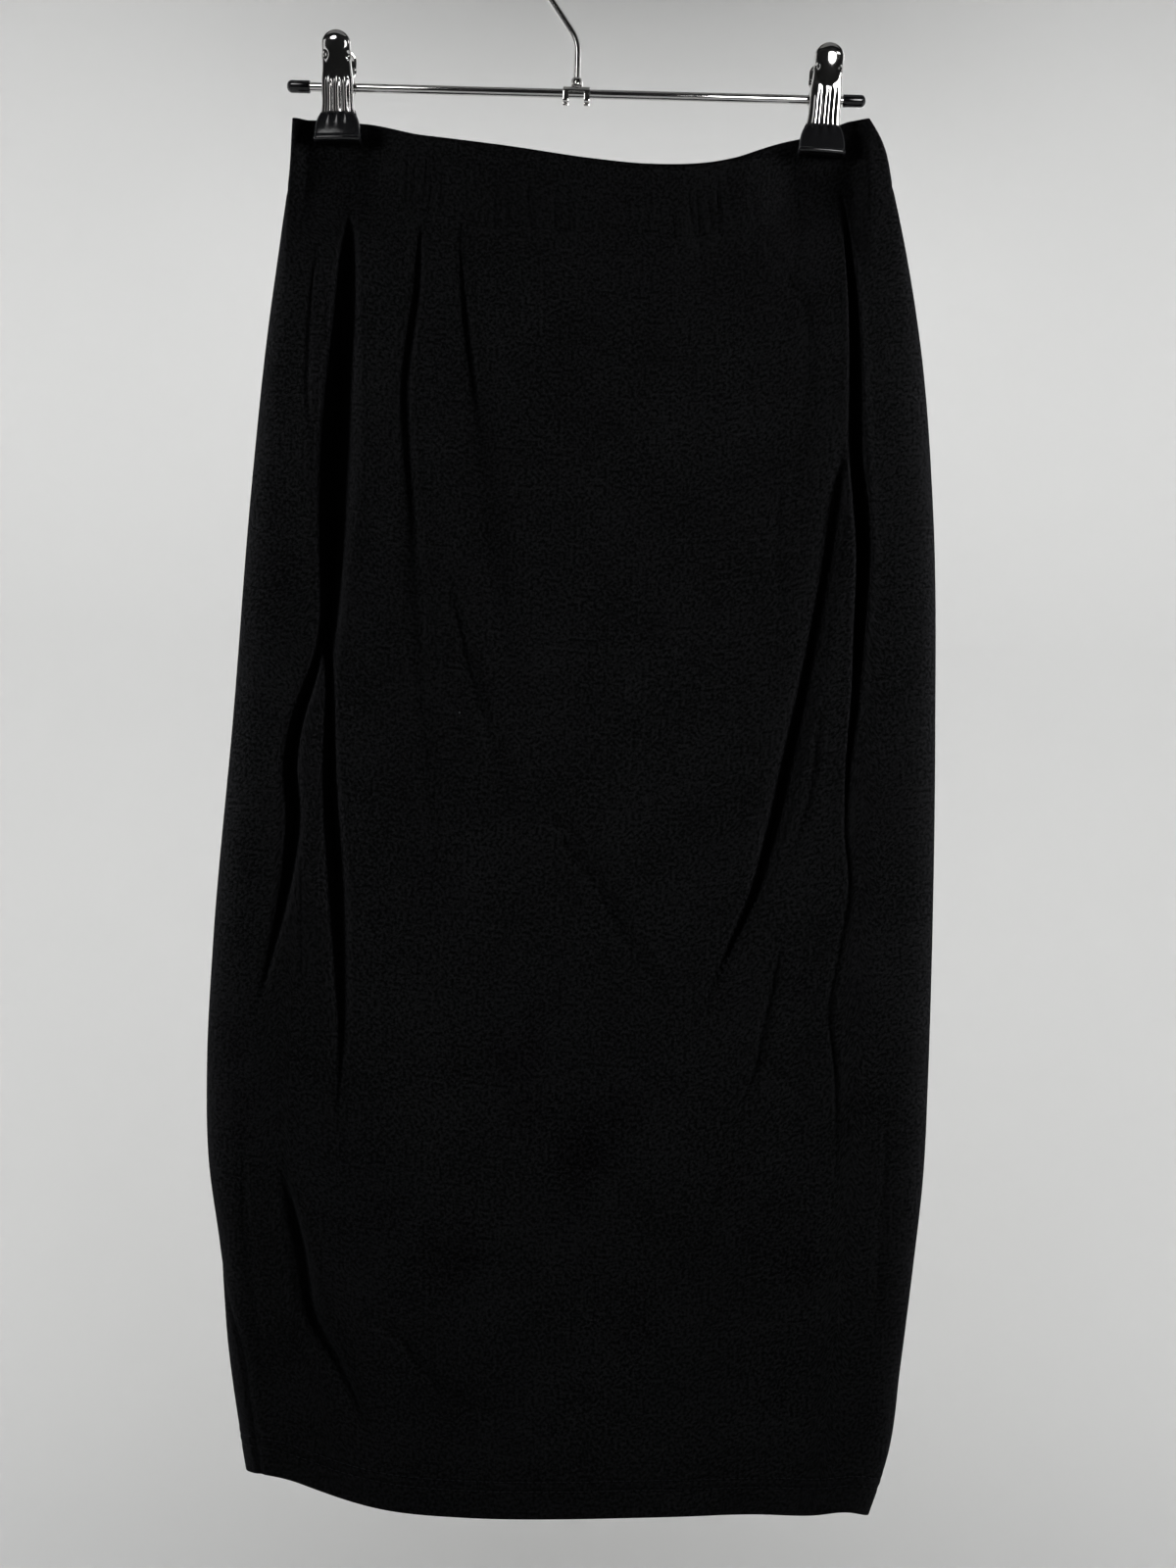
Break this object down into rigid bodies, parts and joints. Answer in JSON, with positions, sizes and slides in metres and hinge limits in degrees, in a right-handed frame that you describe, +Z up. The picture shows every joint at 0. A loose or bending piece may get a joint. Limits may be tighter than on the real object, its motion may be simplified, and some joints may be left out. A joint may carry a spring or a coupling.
{
  "type": "midi skirt on a clip hanger",
  "caption": "Black stretch-jersey midi skirt with an elasticated waistband, hung by its waist from a chromed clip hanger.",
  "frame": {"origin": "inside of the top of the hook, where a rail carries the hanger", "axes": "+Z up; +X to the right as seen from the skirt's front, along the hanger bar; the skirt's front faces -Y"},
  "size_m": [0.3758, 0.0495, 0.8243],
  "materials": {
    "jersey": "matt black viscose and elastane jersey, fine plain knit",
    "chrome": "bright chromed steel",
    "spring": "bright spring steel wire",
    "vinyl": "glossy black soft vinyl"
  },
  "bodies": {
    "root": {"front_panel": "jersey", "back_panel": "jersey", "waistband_front": "jersey", "waistband_back": "jersey", "hanger_bar": "chrome", "bar_cap_left": "vinyl", "bar_cap_right": "vinyl", "hook": "chrome", "hook_collar": "chrome", "hook_saddle": "chrome", "clip_left_arm_front": "chrome", "clip_left_arm_back": "chrome", "clip_left_spring": "spring", "clip_left_jaw_front": "vinyl", "clip_left_jaw_back": "vinyl", "clip_right_arm_front": "chrome", "clip_right_arm_back": "chrome", "clip_right_spring": "spring", "clip_right_jaw_front": "vinyl", "clip_right_jaw_back": "vinyl"}
  },
  "joints": []
}
